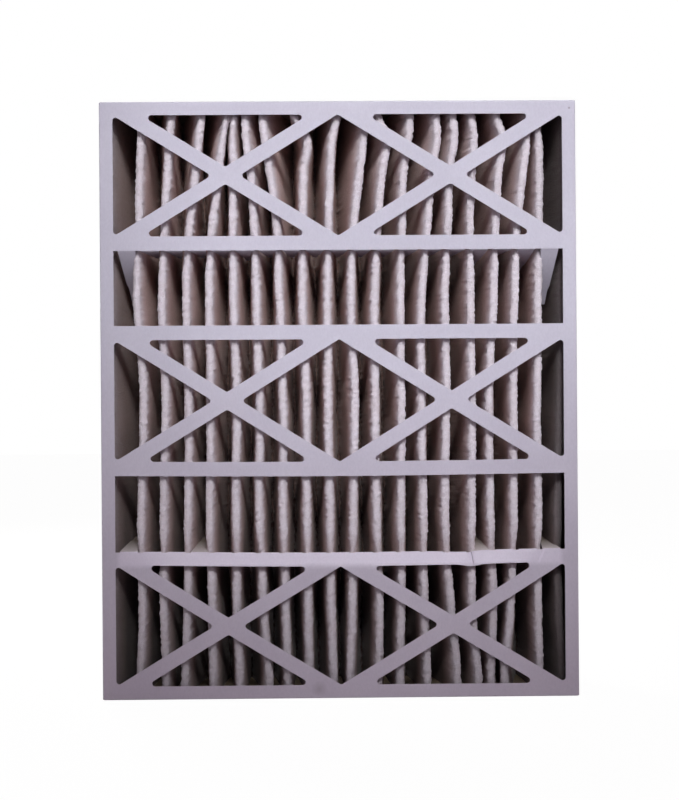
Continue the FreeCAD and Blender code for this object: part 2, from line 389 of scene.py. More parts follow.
def split_axes(nodes, links, place):
    """The X, Y and Z of a place, for tints that follow one of them."""
    split = nodes.new("ShaderNodeSeparateXYZ")
    links.new(place, split.inputs["Vector"])
    return split.outputs


def add_mottle(nodes, links, vector, scale, fine_scale, amount, dark, light):
    """Places the mottle group with its values and returns it."""
    tones = nodes.new("ShaderNodeGroup")
    tones.node_tree = mottle
    links.new(vector, tones.inputs["Vector"])
    tones.inputs["Scale"].default_value = scale
    tones.inputs["Fine Scale"].default_value = fine_scale
    tones.inputs["Amount"].default_value = amount
    tones.inputs["Dark"].default_value = (*dark, 1)
    tones.inputs["Light"].default_value = (*light, 1)
    return tones


def add_bump(nodes, links, height, shader, strength, distance):
    """Lets a height tilt the shader's normal."""
    bump = nodes.new("ShaderNodeBump")
    bump.inputs["Strength"].default_value = strength
    bump.inputs["Distance"].default_value = distance
    links.new(height, bump.inputs["Height"])
    links.new(bump.outputs["Normal"], shader.inputs["Normal"])


def multiply_colour(nodes, links, colour, factor):
    """Multiplies a colour by a factor, which is a colour or a value."""
    mixed = nodes.new("ShaderNodeMix")
    mixed.data_type = "RGBA"
    mixed.blend_type = "MULTIPLY"
    mixed.inputs["Factor"].default_value = 1.0
    links.new(colour, mixed.inputs["A"])
    links.new(factor, mixed.inputs["B"])
    return mixed.outputs["Result"]


def remap(nodes, links, value, start, end, first, last):
    """Turns start..end into first..last, and stops at both ends."""
    node = nodes.new("ShaderNodeMapRange")
    node.inputs["From Min"].default_value = start
    node.inputs["From Max"].default_value = end
    node.inputs["To Min"].default_value = first
    node.inputs["To Max"].default_value = last
    links.new(value, node.inputs["Value"])
    return node.outputs["Result"]


print("finishes can use", mottle.name, "and", round_mask.name)

# %% [markdown]
# The inner faces of the side walls get painted shade, and it is darker further in. Those
# faces could have a material of their own, but each wall is part of one folded sheet. So
# the painted shade is a tint that is white everywhere, except in a thin layer of space that
# holds those faces. The right wall and the lowest part of both walls are the darkest.

# %% Painted shade on the side walls
WHITE = (1.0, 1.0, 1.0)
SHADE_DEPTH = 55.0 * MM
WALL_LAYER = (246.5 * MM, 250.5 * MM)
WALL_MARGIN = 1.0 * MM
# Painted shade: the side walls' inner faces darken with depth, most on the right and low
# down.
WALL_SHADE = ((0.38, 0.33, 0.32), (0.20, 0.16, 0.145))
RIGHT_WALL = (-0.1, 0.1, 1.0, 0.42)
LOW_WALL = (0.08, 0.25, 0.45, 1.0)


def shade_depth(nodes, links, axes):
    """0 at the front face, and 1 where the painted shade is at its darkest."""
    return remap(nodes, links, axes["Y"], front_low.y, front_low.y + SHADE_DEPTH, 0.0, 1.0)


def wall_shade_tint(nodes, links, axes, across):
    """A tint of painted shade for the side walls' inner faces, darker with depth."""
    along = add_math(nodes, links, "ABSOLUTE", axes["Y"])
    behind = add_math(nodes, links, "LESS_THAN", along, -front_low.y - WALL_MARGIN)
    beside = add_math(nodes, links, "GREATER_THAN", across, WALL_LAYER[0])
    within = add_math(nodes, links, "LESS_THAN", across, WALL_LAYER[1])
    layer = add_math(nodes, links, "MULTIPLY", beside, within)
    mask = add_math(nodes, links, "MULTIPLY", layer, behind)
    side = remap(nodes, links, axes["X"], *RIGHT_WALL)
    height = remap(nodes, links, axes["Z"], *LOW_WALL)
    share = add_math(nodes, links, "MULTIPLY", side, height)
    fade = mix_colours(nodes, links, shade_depth(nodes, links, axes), *WALL_SHADE)
    deep_shade = multiply_colour(nodes, links, fade, share)
    return mix_colours(nodes, links, mask, WHITE, deep_shade)


print("dust is thickest", round(SHADE_DEPTH / MM), "mm behind the face")

# %% [markdown]
# The lowest bar was knocked: it has a sharp crease and a soft fold, and it faces up a
# little. A paler colour paints the extra light it catches there, a dark line paints the
# shade in the crease, and a pale streak paints a highlight beside the soft fold. Where the
# bar, the crease and the fold lie is written here once. The bar's shape reads the same
# values further down, so the colour stays on the form.

# %% Painted light and shade on the lowest bar
BAR_BOTTOM = 141.5 * MM
BAR_TOP = 156.5 * MM
BAR_REACH = 232.0 * MM
# Painted light: the bar faces up to the lamps, so its colour is made paler.
BAR_PAINTED_LIGHT = 1.20
BAR_LIGHT_FADE = (-1.0 * MM, 4.0 * MM)
CREASE_X = 137.8 * MM
CREASE_SLANT = 0.16
# Painted shade: a dark line along the crease.
CRACK_SHADE_WIDTH = 0.5 * MM
CRACK_SHADE_TONE = 0.62
SOFT_FOLD_X = 216.0 * MM
STREAK_SLANT = -0.45
# Painted highlight: a pale streak beside the soft fold.
STREAK_HIGHLIGHT_WIDTH = 1.6 * MM
STREAK_HIGHLIGHT_TONE = 1.09
MARK_FADE = (0.0, 1.0 * MM)


def bar_painted_light(nodes, links, axes, across):
    """A factor of painted light: it makes the bar paler, and draws a line of painted shade
    along the crease and a painted highlight beside the soft fold.
    """
    from_middle = add_math(nodes, links, "SUBTRACT", axes["Z"], (BAR_BOTTOM + BAR_TOP) / 2)
    beyond = add_math(nodes, links, "ABSOLUTE", from_middle)
    above = add_math(nodes, links, "SUBTRACT", beyond, (BAR_TOP - BAR_BOTTOM) / 2)
    outside = add_math(nodes, links, "SUBTRACT", across, BAR_REACH)
    away = add_math(nodes, links, "MAXIMUM", above, outside)
    tone = remap(nodes, links, away, *BAR_LIGHT_FADE, BAR_PAINTED_LIGHT, 1.0)
    in_bar = remap(nodes, links, away, *MARK_FADE, 1.0, 0.0)
    drop = add_math(nodes, links, "SUBTRACT", BAR_TOP, axes["Z"])
    for x, slant, width, strength in (
        (CREASE_X, CREASE_SLANT, CRACK_SHADE_WIDTH, CRACK_SHADE_TONE),
        (SOFT_FOLD_X, STREAK_SLANT, STREAK_HIGHLIGHT_WIDTH, STREAK_HIGHLIGHT_TONE),
    ):
        line = add_math(nodes, links, "MULTIPLY_ADD", drop, slant, x)
        gap = add_math(nodes, links, "SUBTRACT", axes["X"], line)
        near = add_math(nodes, links, "ABSOLUTE", gap)
        painted_line = remap(nodes, links, near, width / 2, width, strength, 1.0)
        change = add_math(nodes, links, "SUBTRACT", painted_line, 1.0)
        factor = add_math(nodes, links, "MULTIPLY_ADD", change, in_bar, 1.0)
        tone = add_math(nodes, links, "MULTIPLY", tone, factor)
    return tone


print("lowest bar from", BAR_BOTTOM, "to", BAR_TOP)

# %% [markdown]
# The trays are grey board with a lilac-grey coating. Up close the coating is mottled and
# has a very fine tooth, and it takes a dull shine. A faint smudge on the bottom rim and
# two specks at the right edge came with use, and each is a soft round mask. Towards the
# floor the board looks a little warmer and darker, and a last tint paints that warm shade.
# The tints for the side walls and the lowest bar are painted shade and painted light.

# %% Coated board
BOARD_TONES = ((0.50, 0.47, 0.57), (0.62, 0.59, 0.69))
BOARD_STRETCH = (1.0, 1.0, 0.55)
LOW_BOARD = (0.0, 0.40, 1.0, 0.0)
# Painted shade: a warm, slightly darker tint towards the floor.
LOW_BOARD_PAINTED_SHADE = (0.97, 0.895, 0.905)
STAIN = (0.10, 0.07, 0.08)
MARKS = (
    ((-23.5 * MM, -55.5 * MM, 10.0 * MM), 9.0 * MM, 0.30),
    ((244.3 * MM, -55.5 * MM, 620.3 * MM), 1.6 * MM, 0.75),
    ((235.5 * MM, -55.5 * MM, 567.0 * MM), 1.4 * MM, 0.75),
)


def add_marks(nodes, links, place, colour):
    """Lays the smudge and the specks over the coating."""
    for centre, radius, strength in MARKS:
        spot = nodes.new("ShaderNodeGroup")
        spot.node_tree = round_mask
        spot.inputs["Centre"].default_value = centre
        spot.inputs["Radius"].default_value = radius
        links.new(place, spot.inputs["Vector"])
        amount = add_math(nodes, links, "MULTIPLY", spot.outputs["Mask"], strength)
        colour = mix_colours(nodes, links, amount, colour, STAIN)
    return colour


def coated_board():
    material, nodes, links, shader = new_material("coated_board", 0.5, 0.35)
    place = object_place(nodes)
    axes = split_axes(nodes, links, place)
    across = add_math(nodes, links, "ABSOLUTE", axes["X"])
    low = remap(nodes, links, axes["Z"], *LOW_BOARD)
    stretch = nodes.new("ShaderNodeMapping")
    stretch.inputs["Scale"].default_value = BOARD_STRETCH
    links.new(place, stretch.inputs["Vector"])
    tones = add_mottle(
        nodes, links, stretch.outputs["Vector"], 14.0, 620.0, 1.7, *BOARD_TONES
    )
    colour = add_marks(nodes, links, place, tones.outputs["Color"])
    # Painted shade on the walls, painted light on the lowest bar, and painted warm shade
    # towards the floor.
    for tint in (
        wall_shade_tint(nodes, links, axes, across),
        bar_painted_light(nodes, links, axes, across),
        mix_colours(nodes, links, low, WHITE, LOW_BOARD_PAINTED_SHADE),
    ):
        colour = multiply_colour(nodes, links, colour, tint)
    links.new(colour, shader.inputs["Base Color"])
    add_bump(nodes, links, tones.outputs["Height"], shader, 0.25, 0.0003)
    return material


board_material = coated_board()
print("board finish", board_material.name, "with", len(MARKS), "marks")

# %% [markdown]
# Where the board was cut, its bare core shows: grey, rough and without the coating. The
# upper faces of the tongues are beige-grey, with painted shade that darkens them further
# in. Both finishes use the mottle again, with sizes and colours of their own.

# %% Cut edges and painted shade on the tongues
EDGE_TONES = ((0.36, 0.33, 0.36), (0.52, 0.48, 0.50))
# Painted shade: the tongues' upper faces darken further in.
TONGUE_SHADE = ((0.70, 0.64, 0.66), (0.28, 0.225, 0.195))
TONGUE_GRAINS = ((0.80, 0.78, 0.76), WHITE)


def board_edge():
    material, nodes, links, shader = new_material("board_edge", 0.8, 0.2)
    tones = add_mottle(
        nodes, links, object_place(nodes), 120.0, 1400.0, 2.0, *EDGE_TONES
    )
    links.new(tones.outputs["Color"], shader.inputs["Base Color"])
    return material


def shaded_tongue():
    material, nodes, links, shader = new_material("shaded_tongue", 0.8, 0.1)
    place = object_place(nodes)
    axes = split_axes(nodes, links, place)
    grains = add_mottle(nodes, links, place, 300.0, 1200.0, 2.2, *TONGUE_GRAINS)
    fade = mix_colours(nodes, links, shade_depth(nodes, links, axes), *TONGUE_SHADE)
    shaded = multiply_colour(nodes, links, fade, grains.outputs["Color"])
    links.new(shaded, shader.inputs["Base Color"])
    return material


edge_material = board_edge()
tongue_shade_material = shaded_tongue()
print("board finishes", edge_material.name, tongue_shade_material.name)

# %% [markdown]
# The media is a thick felt of white fibres. Its folds are pinkish white where they catch
# the light. Painted shade darkens each side of the sheet with its own depth, to brown and
# near black: the front side from the front folds, the rear side from the rear ones. The
# object's Y coordinate gives that depth. More painted shade lies in the two channels
# beside the walls, along the lowest row, and deep in the channels low down and right.

# %% Felt
TIP_PLANE = media_high.y
# The first stop is the felt's own pinkish white. The deeper stops are painted shade.
FELT_TONES_AND_SHADE = (
    (0.0, (0.83, 0.77, 0.855)),
    (0.09, (0.81, 0.69, 0.73)),
    (0.2, (0.73, 0.54, 0.535)),
    (0.34, (0.655, 0.44, 0.41)),
    (0.6, (0.575, 0.365, 0.325)),
    (0.85, (0.43, 0.265, 0.23)),
    (1.0, (0.16, 0.09, 0.075)),
)
# Painted shade: beside the walls, along the lowest row, and deep in the channels low down and
# right.
LEFT_CHANNEL_SHADE = (-0.236, -0.214, 0.5, 1.0)
RIGHT_CHANNEL_SHADE = (0.212, 0.232, 1.0, 0.2)
LOWEST_ROW_SHADE = (0.0, 0.165, 0.68, 1.0)
LOW_SHADE = (0.08, 0.40, 1.0, 0.0)
SIDE_SHARE = (-0.05, 0.12, 0.0, 0.42)
SHADED_FROM = (0.06, 0.45, 0.0, 1.0)
DEEP_SHADE_COLOUR = (0.24, 0.17, 0.145)
PATCH_SCALE = 60.0
PATCH_SHIFT = 0.08
FIBRE_TONES = ((0.80, 0.77, 0.76), WHITE)


def tone_ramp(nodes, links, value, tones):
    """A colour ramp with the given stops. A new ramp already has its first two."""
    node = nodes.new("ShaderNodeValToRGB")
    elements = node.color_ramp.elements
    for number, (stop, colour) in enumerate(tones):
        if number < 2:
            element = elements[number]
            element.position = stop
        else:
            element = elements.new(stop)
        element.color = (*colour, 1)
    links.new(value, node.inputs["Fac"])
    return node.outputs["Color"]


def felt(name, facing):
    """Felt for one side of the sheet: facing is -1 for the front side and 1 for the rear."""
    material, nodes, links, shader = new_material(name, 0.95, 0.1)
    place = object_place(nodes)
    axes = split_axes(nodes, links, place)
    straight = remap(
        nodes, links, axes["Y"], facing * TIP_PLANE, -facing * TIP_PLANE, 0.0, 1.0
    )
    patches = nodes.new("ShaderNodeTexNoise")
    patches.inputs["Scale"].default_value = PATCH_SCALE
    patches.inputs["Detail"].default_value = 3.0
    links.new(place, patches.inputs["Vector"])
    uneven = add_math(
        nodes, links, "MULTIPLY_ADD", patches.outputs["Fac"], PATCH_SHIFT, -PATCH_SHIFT / 2
    )
    depth = add_math(nodes, links, "ADD", straight, uneven, clamp=True)
    low = remap(nodes, links, axes["Z"], *LOW_SHADE)
    right = remap(nodes, links, axes["X"], *SIDE_SHARE)
    most = add_math(nodes, links, "MAXIMUM", low, right)
    deep = remap(nodes, links, depth, *SHADED_FROM)
    shaded = add_math(nodes, links, "MULTIPLY", most, deep)
    fibres = add_mottle(nodes, links, place, 240.0, 720.0, 2.8, *FIBRE_TONES)
    colour = tone_ramp(nodes, links, depth, FELT_TONES_AND_SHADE)
    # The fibres are the felt's own mottle. The other tints are painted shade.
    for tint in (
        fibres.outputs["Color"],
        remap(nodes, links, axes["X"], *LEFT_CHANNEL_SHADE),
        remap(nodes, links, axes["X"], *RIGHT_CHANNEL_SHADE),
        remap(nodes, links, axes["Z"], *LOWEST_ROW_SHADE),
        mix_colours(nodes, links, shaded, WHITE, DEEP_SHADE_COLOUR),
    ):
        colour = multiply_colour(nodes, links, colour, tint)
    links.new(colour, shader.inputs["Base Color"])
    shader.inputs["Sheen Weight"].default_value = 0.2
    shader.inputs["Sheen Roughness"].default_value = 0.6
    add_bump(nodes, links, fibres.outputs["Height"], shader, 0.9, 0.0014)
    return material


felt_front = felt("felt_front_side", -1)
felt_rear = felt("felt_rear_side", 1)
print("felt", felt_front.name, felt_rear.name)

# %% [markdown]
# The adhesive that closes the pleats' ends is an amber hot melt, poured and set with a
# smooth, slightly uneven skin. It is hidden, and its colour is darkened to paint the shade
# at the ends of the channels.

# %% Adhesive
# Darker than amber: painted shade at the ends of the channels.
ADHESIVE_SHADE_TONES = ((0.16, 0.115, 0.08), (0.23, 0.17, 0.12))


def set_adhesive():
    material, nodes, links, shader = new_material("set_adhesive", 0.35, 0.5)
    tones = add_mottle(
        nodes, links, object_place(nodes), 35.0, 240.0, 1.6, *ADHESIVE_SHADE_TONES
    )
    links.new(tones.outputs["Color"], shader.inputs["Base Color"])
    add_bump(nodes, links, tones.outputs["Height"], shader, 0.4, 0.001)
    return material


adhesive_material = set_adhesive()
print("adhesive", adhesive_material.name)

# %% [markdown]
# The pleated sheet is one thick felt, folded twenty times. The solid has even pleats. On
# the real one the tongues hold them evenly only near the two windows, and above and
# below those the folds lean and bunch. The numbers here say how far each front fold leans
# to the right of its even place, in millimetres, measured on the photograph at nine
# distances from the top edge. Between those a smooth curve is drawn.

# %% How the front folds lean
MEASURED_AT = (14.0, 32.0, 75.0, 137.0, 195.0, 315.0, 430.0, 550.0, 612.0)
LEANS = {
    1: (0, 0, 0, 0, 0, 0, 0, 0, 0),
    2: (3.5, 2.8, 1, -1, -3, 3.3, -0.2, 0, -2),
    3: (9.5, 8, 5.5, 1.5, -1.4, 1.6, -1.2, -1.4, 0),
    4: (17, 15, 10.5, 3, -0.2, 1.5, -0.1, -2, -4.5),
    5: (19, 15.8, 10, 2.3, -0.6, -0.2, -1.8, 0, 1),
    6: (1.7, 0.2, 1, -0.3, -0.2, 2.7, 1.1, 2, 4),
    7: (-11, -11, -6, -2, -0.9, 2, 1.2, 6, 10),
    8: (-17.6, -16, -10, -2.6, -1.4, 2.4, 1.6, 4, 5.4),
    9: (-9, 2.7, 0.7, -0.3, -1.4, 2.2, 1.9, 2.7, 3),
    10: (12, 8, 4.6, 2, 0.7, 0.5, 1.4, 2.6, 4),
    11: (17, 15.5, 11, 3.5, 0.8, 3.9, 1.6, -0.6, -3),
    12: (5, 14, 10, 4, 1.4, 0.7, 1.3, 4, 2),
    13: (15, 14, 7.5, 6, 3.7, 4, 2.8, 2, 0.5),
    14: (17.5, 19, 13, 7.5, 2.3, 0.4, 1.6, 2.5, 4.5),
    15: (10.7, 12.7, 7.5, 4.7, 1.7, 2.2, -0.1, 6.5, 12),
    16: (6, 8, 6, 4, 3.7, 4.5, 3.7, 4, 9),
    17: (7.4, 13.4, 9.5, 6, 4, -2, -1.3, 0.5, -2),
    18: (16, 15.3, 11, 4, 1.4, -1, -1.3, -6.5, -13),
    19: (1, 2.6, 4, 2, 1.7, -0.4, -0.3, -1, 0),
    20: (0, 0, 0, -1, -2, -5, -8.5, -8, -5),
}


def smooth_curve(known_at, known, wanted_at):
    """A smooth curve through known values: cubic pieces that keep the slopes between them."""
    known_at = np.asarray(known_at, float)
    known = np.asarray(known, float)
    slopes = np.gradient(known, known_at)
    span = np.clip(np.searchsorted(known_at, wanted_at) - 1, 0, len(known_at) - 2)
    width = known_at[span + 1] - known_at[span]
    t = (wanted_at - known_at[span]) / width
    start = (1 + 2 * t) * (1 - t) ** 2 * known[span]
    leave = t * (1 - t) ** 2 * width * slopes[span]
    end = t * t * (3 - 2 * t) * known[span + 1]
    arrive = t * t * (t - 1) * width * slopes[span + 1]
    return start + leave + end + arrive


def lean(pleat, heights):
    """How far a front fold leans at each height, in metres. Heights count from the bottom."""
    from_top = (front_high.z - heights) / MM
    known_at = (0.0, *MEASURED_AT, (front_high.z - front_low.z) / MM)
    known = (LEANS[pleat][0], *LEANS[pleat], LEANS[pleat][-1])
    return smooth_curve(known_at, known, from_top) * MM


print("leans at the top edge", [LEANS[pleat][0] for pleat in sorted(LEANS)])

# %% [markdown]
# Folds could be placed one by one, but there are 39 of them, and each wanders over its
# whole height. So each has a centre line: its even place, its lean if it is a front fold,
# and a slow random waviness that keeps the flanks from looking like tin. Behind the
# knocked bar the folds are pressed back. The two end folds lie further out and back.

# %% Where the folds run
PLEATS = 20
END_FOLD_SHIFT = 6.0 * MM
END_FOLD_BACK = 9.0 * MM
FELT = 3.4 * MM
FOLD_GAP = 1.5 * MM
LOFT = 0.6 * MM
ROW_STEP = 1.55 * MM
FRONT_WANDER = (0.5 * MM, 0.14)
FRONT_DEPTH_WANDER = (0.7 * MM, 0.17)
REAR_WANDER = (1.2 * MM, 0.3)
REAR_DEPTH_WANDER = (0.7 * MM, 0.2)
BAR_PRESS = 5.0 * MM
BAR_PRESS_REACH = 16.0 * MM
SEED = 20

random = np.random.default_rng(SEED)


def wander(heights, amount, longest):
    """A slow random wave over the heights: three sines of falling length and size."""
    wave = np.zeros_like(heights)
    for part in (1, 2, 3):
        length = longest / part ** 1.3
        phase = random.uniform(0, 2 * math.pi)
        size = random.uniform(0.5, 1.0) / part
        wave = wave + size * np.sin(2 * math.pi * heights / length + phase)
    return wave * amount / 1.5


def fold_centres(heights):
    """Centres of the folds: X and Y for each height and each of the 39 folds."""
    pitch = 2 * media_high.x / PLEATS
    centre_depth = TIP_PLANE - FELT - FOLD_GAP / 2 - LOFT
    from_bar = heights - (BAR_BOTTOM + BAR_TOP) / 2
    pressed = BAR_PRESS * hill(from_bar, BAR_PRESS_REACH)
    across = []
    along = []
    for number in range(1, 2 * PLEATS):
        place = (number - PLEATS) * pitch / 2
        if number == 1:
            place -= END_FOLD_SHIFT
        if number == 2 * PLEATS - 1:
            place += END_FOLD_SHIFT
        if number % 2:
            shift = lean((number + 1) // 2, heights) + wander(heights, *FRONT_WANDER)
            depth = -centre_depth + np.abs(wander(heights, *FRONT_DEPTH_WANDER)) + pressed
            if number in (1, 2 * PLEATS - 1):
                depth = depth + END_FOLD_BACK
        else:
            shift = wander(heights, *REAR_WANDER)
            depth = centre_depth - np.abs(wander(heights, *REAR_DEPTH_WANDER))
        across.append(place + shift)
        along.append(depth)
    return np.array(across).T, np.array(along).T


rows = int(round((media_high.z - media_low.z) / ROW_STEP)) + 1
heights = np.linspace(media_low.z, media_high.z, rows)
fold_x, fold_y = fold_centres(heights)
print(fold_x.shape[1], "folds at", rows, "heights")

# %% [markdown]
# In plan, the sheet's middle line runs straight down a flank, round a fold, straight up
# the next flank, and so on. Each fold is a circle, and each flank touches the circle
# before it and the one after it. That is worked out for every height at once, because
# the folds wander.

# %% Line of the sheet
FOLD_RADIUS = FOLD_GAP / 2 + FELT / 2
HEM_LENGTH = 32.0 * MM
FRONT_ARC_POINTS = 7
REAR_ARC_POINTS = 5
FLANK_POINTS = 4
BILLOW = (1.0 * MM, 0.22)
FULLNESS = 0.5 * MM
FLANK_WIDTH = 8.0 * MM
WIDEST_SHARE = 1.2


def flank_angle(across, along, clearance):
    """Angle from the Y axis of a flank that passes two fold circles."""
    return np.arctan2(across, along) - np.arcsin(clearance / np.hypot(across, along))


def flank(start, end, heights, fullness):
    """Points between two folds. Thick felt springs open next to each fold, so a flank is a
    slight S, and it also billows."""
    push = wander(heights, *BILLOW)
    room = fullness * np.clip((end[0] - start[0]) / FLANK_WIDTH, 0, WIDEST_SHARE)
    points = []
    for step in range(1, FLANK_POINTS + 1):
        share = step / (FLANK_POINTS + 1)
        bulge = push * math.sin(math.pi * share) + room * math.sin(2 * math.pi * share)
        points.append((
            start[0] + (end[0] - start[0]) * share + bulge,
            start[1] + (end[1] - start[1]) * share,
        ))
    return points


def sheet_points(heights, x, y):
    """The sheet's middle line at each height, from the left hem to the right one."""
    hem_x = media_high.x - FELT / 2
    hem_y = TIP_PLANE - HEM_LENGTH
    hem_stops = (TIP_PLANE, (hem_y + TIP_PLANE) / 2, hem_y)
    first = flank_angle(x[:, 0] + hem_x, hem_y - y[:, 0], FOLD_RADIUS)
    last = flank_angle(hem_x - x[:, -1], hem_y - y[:, -1], FOLD_RADIUS)
    between = flank_angle(
        np.diff(x, axis=1), np.abs(np.diff(y, axis=1)), 2 * FOLD_RADIUS
    )
    angles = np.column_stack([first, between, last])
    ones = np.ones_like(heights)
    columns = [(-hem_x * ones, stop * ones) for stop in hem_stops]
    flank_middles = []
    for fold in range(x.shape[1]):
        facing = 1 if fold % 2 else -1
        arc_points = REAR_ARC_POINTS if fold % 2 else FRONT_ARC_POINTS
        start = angles[:, fold] - math.pi / 2
        end = math.pi / 2 - angles[:, fold + 1]
        arc = []
        for step in range(arc_points):
            turn = start + (end - start) * step / (arc_points - 1)
            arc.append((
                x[:, fold] + FOLD_RADIUS * np.sin(turn),
                y[:, fold] + FOLD_RADIUS * facing * np.cos(turn),
            ))
        columns += flank(columns[-1], arc[0], heights, FULLNESS if fold else 0)
        flank_middles.append(len(columns) - FLANK_POINTS // 2)
        columns += arc
    far_hem = [(hem_x * ones, stop * ones) for stop in reversed(hem_stops)]
    columns += flank(columns[-1], far_hem[0], heights, 0)
    columns += far_hem
    return np.array(columns).transpose(2, 0, 1), flank_middles


middle_line, flank_middles = sheet_points(heights, fold_x, fold_y)
print("sheet", middle_line.shape[0], "rows of", middle_line.shape[1], "points")

# %% [markdown]
# Each part of the sheet starts as a flat grid, whose vertices are then moved onto the
# worked out line. Solidify gives it the felt's thickness and puts a second material on
# its rear side.

# %% One part of the sheet
def grid_sheet(name, points):
    """A grid with its vertices moved to rows of points, thickened to felt."""
    row_count, point_count = points.shape[:2]
    bpy.ops.mesh.primitive_grid_add(
        x_subdivisions=point_count - 1, y_subdivisions=row_count - 1, size=1
    )
    sheet = bpy.context.active_object
    sheet.name = name
    placed = np.empty((row_count, point_count, 3))
    placed[:, :, :2] = points
    placed[:, :, 2] = heights[:, None]
    write_points(sheet, placed.reshape(-1, 3))
    sheet.data.materials.append(felt_front)
    sheet.data.materials.append(felt_rear)
    solidify = sheet.modifiers.new("felt thickness", "SOLIDIFY")
    solidify.thickness = FELT
    solidify.offset = 0
    solidify.material_offset = 1
    apply_modifiers(sheet)
    return sheet


print("felt thickness", round(FELT / MM, 1), "mm")

# %% [markdown]
# The tray's tongues grip the folds above and below the windows, and folds that lean
# together crowd each other. There the felt is squeezed, most at the tips of the folds.
# Felt is also lumpy and fuzzy, so two Displace modifiers push it with cloud textures.
# The push is then made weaker deep in the channels, where nothing has rubbed the felt.

# %% Squeezed and rough folds
PINCH = 0.36
PINCH_REACH = 12.0 * MM
PINCH_DEPTH = 26.0 * MM
TONGUE_HEIGHTS = (BAR_TOP, front_high.z - BAR_TOP)
CROWD_GAP = 13.5 * MM
CROWD_LEAST = 0.5
LUMPS = 1.1 * MM
LUMP_SIZE = 0.014
FUZZ = 3.7 * MM
FUZZ_SIZE = 0.0026
ROUGH_DEPTH = 16.0 * MM
ROUGH_LEAST = 0.2
SHEET_SMOOTH = math.radians(60)


def squeeze_folds(sheet):
    """Narrows the folds where tongues grip them and where they crowd together."""
    points = read_points(sheet)
    step = heights[1] - heights[0]
    row = np.clip(np.round((points[:, 2] - heights[0]) / step), 0, rows - 1).astype(int)
    for facing, start in ((-1, 0), (1, 1)):
        middles = fold_x[:, start::2]
        gaps = np.diff(middles, axis=1)
        before = np.column_stack([gaps[:, :1], gaps])
        after = np.column_stack([gaps, gaps[:, -1:]])
        room = np.minimum(before, after)
        nearest = np.argmin(np.abs(middles[row] - points[:, :1]), axis=1)
        centre = middles[row, nearest]
        crowd = np.clip(room[row, nearest] / CROWD_GAP, CROWD_LEAST, 1)
        grip = sum(hill(points[:, 2] - height, PINCH_REACH) for height in TONGUE_HEIGHTS)
        depth = np.abs(points[:, 1] - facing * TIP_PLANE)
        near = np.clip(1 - depth / PINCH_DEPTH, 0, 1)
        factor = 1 - near * (1 - crowd * (1 - PINCH * grip))
        points[:, 0] = centre + (points[:, 0] - centre) * factor
    write_points(sheet, points)


def roughen(sheet):
    """Gives the felt its lumps and the fuzzy line of its folds. Deep down it is smoother."""
    before = read_points(sheet)
    for name, size, strength in (("lumps", LUMP_SIZE, LUMPS), ("fuzz", FUZZ_SIZE, FUZZ)):
        texture = bpy.data.textures.new(name, "CLOUDS")
        texture.noise_scale = size
        texture.noise_depth = 1
        push = sheet.modifiers.new(name, "DISPLACE")
        push.texture = texture
        push.texture_coords = "LOCAL"
        push.strength = strength
        push.mid_level = 0.5
    apply_modifiers(sheet)
    depth = TIP_PLANE - np.abs(before[:, 1:2])
    share = ROUGH_LEAST + (1 - ROUGH_LEAST) * np.clip(1 - depth / ROUGH_DEPTH, 0, 1)
    write_points(sheet, before + (read_points(sheet) - before) * share)
    pick(sheet)
    bpy.ops.object.shade_smooth_by_angle(angle=SHEET_SMOOTH)


print("folds are gripped at", [round(height, 4) for height in TONGUE_HEIGHTS])

# %% [markdown]
# The one sheet is made in four parts, which meet deep inside on a flank, so that no mesh
# gets too heavy.

# %% Pleated media
MEDIA_PARTS = 4

seam_flanks = [len(flank_middles) * part // MEDIA_PARTS for part in range(1, MEDIA_PARTS)]
seams = [1] + [flank_middles[number] for number in seam_flanks]
seams.append(middle_line.shape[1] - 1)
media_pieces = []
for number in range(MEDIA_PARTS):
    part = middle_line[:, seams[number] - 1:seams[number + 1] + 1]
    strip = grid_sheet(f"pleated_media_{number + 1}", part)
    squeeze_folds(strip)
    roughen(strip)
    media_pieces.append(strip)
    print(strip.name, len(strip.data.polygons), "faces")

# %% [markdown]
# The front tray is one sheet of board, and its solid has the right shape. On the real one
# the two lower bars sag, and the lowest one was knocked: it faces up a little and has a
# sharp crease and a soft one. Each knock is a smooth function of a point's place, so the
# same rules carry the bar, its straps and its tongues along.

# %% Knocks of the front tray
LATTICE_X = 236.6 * MM
RIM = 13.0 * MM
FACE_LAYER = 4.0 * MM
BAR_BLEND = 9.0 * MM
SAG_AT = (14.0 * MM, 149.0 * MM, 243.0 * MM, 386.0 * MM)
SAG = (0.0, 3.3 * MM, 1.6 * MM, 0.0)
SAG_ROUNDNESS = 1.2
BAR_LEAN_BACK = 5.9 * MM
LEAN_SPREAD = 2.2
CREASE_DEPTH = 2.2 * MM
CREASE_WIDTH = 1.5 * MM
KINK_REACH = 11.0 * MM
HOLLOW = 1.5 * MM
HOLLOW_X = 124.0 * MM
HOLLOW_REACH = 22.0 * MM
SOFT_FOLD = 0.9 * MM
SOFT_FOLD_REACH = 7.0 * MM
TONGUE_REACH = 90.0 * MM
FACE_WAVE = 0.5 * MM
WAVE_MARGIN = 3.0 * MM
WAVE_FADE = 20.0 * MM


def face_wave(x, z):
    """The slow waviness of a sheet of board, from 0 to 1."""
    wave = np.sin(x / 0.043 + 1.3) * np.sin(z / 0.057 + 0.4) + np.sin(x / 0.071 - z / 0.038)
    return 0.5 + 0.25 * wave


